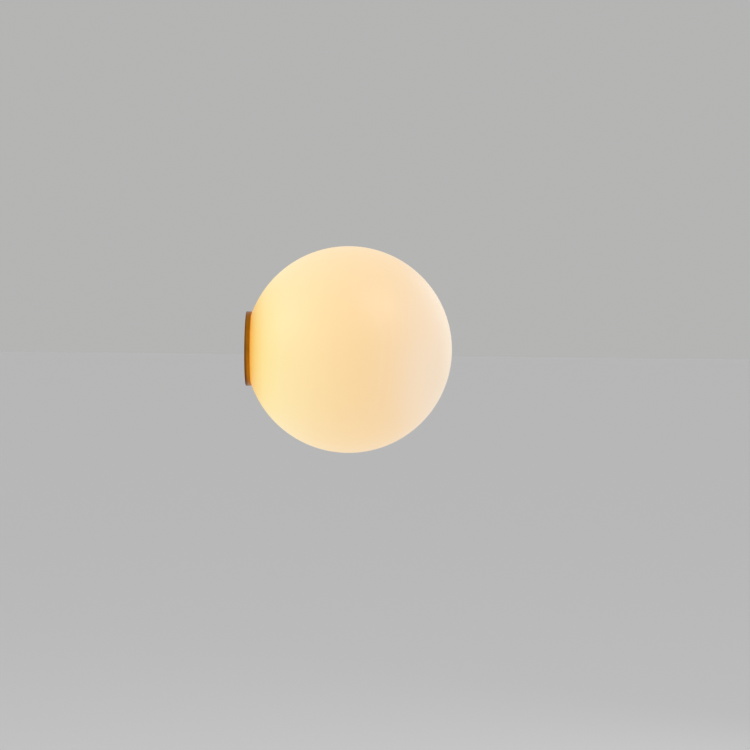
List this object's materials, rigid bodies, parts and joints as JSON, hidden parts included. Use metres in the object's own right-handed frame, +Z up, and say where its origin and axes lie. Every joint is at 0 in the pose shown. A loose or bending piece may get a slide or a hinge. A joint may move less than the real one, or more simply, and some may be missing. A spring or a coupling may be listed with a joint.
{
  "type": "globe wall sconce",
  "caption": "Wall light: a lit opal glass ball seated on a shallow brass disc base, held by an inner leaf spring round a pin-base lamp.",
  "frame": {"origin": "centre of the mounting plate's back face, on the wall", "axes": "+Z up, +Y into the wall, so the ball stands out towards -Y; +X to the right seen from the room"},
  "size_m": [0.2, 0.199, 0.2],
  "materials": {
    "galvanised_steel": "bright zinc plated, lightly spangled",
    "turned_steel": "turned, zinc plated",
    "spun_brass": "satin, spun, lightly lacquered",
    "zinc_washers": "zinc plated",
    "zinc_screws": "zinc plated",
    "nipple_steel": "yellow zinc plated",
    "bush_nylon": "moulded",
    "back_nut_steel": "yellow zinc plated",
    "spring_steel": "hard rolled strip",
    "bracket_steel": "zinc plated",
    "lock_washer_steel": "phosphated",
    "front_nut_steel": "yellow zinc plated",
    "holder_ceramic": "unglazed steatite",
    "contact_metal": "nickel plated",
    "holder_screw_steel": "zinc plated",
    "block_plastic": "moulded polyamide",
    "sleeve_brass": "extruded",
    "clamp_screw_steel": "zinc plated",
    "block_screw_steel": "zinc plated",
    "earth_screw_brass": "turned",
    "earth_washer_brass": "stamped",
    "earth_nut_brass": "turned",
    "silicone": "translucent silicone",
    "opal_glass": "satin etched, opal, lit from inside",
    "lamp_plastic": "moulded",
    "pin_metal": "tinned",
    "core_board": "white circuit board with yellow chips",
    "cover_polycarbonate": "frosted, lit",
    "live_silicone": "brown silicone",
    "neutral_silicone": "blue silicone"
  },
  "bodies": {
    "fixture": {"wall_plate": "galvanised_steel", "plate_standoffs": "turned_steel", "brass_base": "spun_brass", "base_washers": "zinc_washers", "base_screws": "zinc_screws", "hollow_nipple": "nipple_steel", "cable_bush": "bush_nylon", "nipple_back_nut": "back_nut_steel", "globe_spring": "spring_steel", "holder_bracket": "bracket_steel", "nipple_washer": "lock_washer_steel", "nipple_front_nut": "front_nut_steel", "lampholder_body": "holder_ceramic", "lampholder_contacts": "contact_metal", "lampholder_screws": "holder_screw_steel", "terminal_block": "block_plastic", "terminal_sleeves": "sleeve_brass", "terminal_screws": "clamp_screw_steel", "terminal_block_screw": "block_screw_steel", "earth_screw": "earth_screw_brass", "earth_washer": "earth_washer_brass", "earth_nut": "earth_nut_brass", "globe_gasket": "silicone", "lead_live": "live_silicone", "lead_neutral": "neutral_silicone"},
    "globe": {"opal_globe": "opal_glass"},
    "lamp": {"lamp_base": "lamp_plastic", "lamp_pins": "pin_metal", "lamp_core": "core_board", "lamp_cover": "cover_polycarbonate"}
  },
  "joints": [
    {"name": "globe_pull", "type": "slide", "parent": "fixture", "child": "globe", "axis": [0, -1, 0], "range_m": [0, 0.1], "deforming": ["globe_spring"]},
    {"name": "lamp_pull", "type": "slide", "parent": "fixture", "child": "lamp", "axis": [0, -1, 0], "range_m": [0, 0.02]}
  ]
}
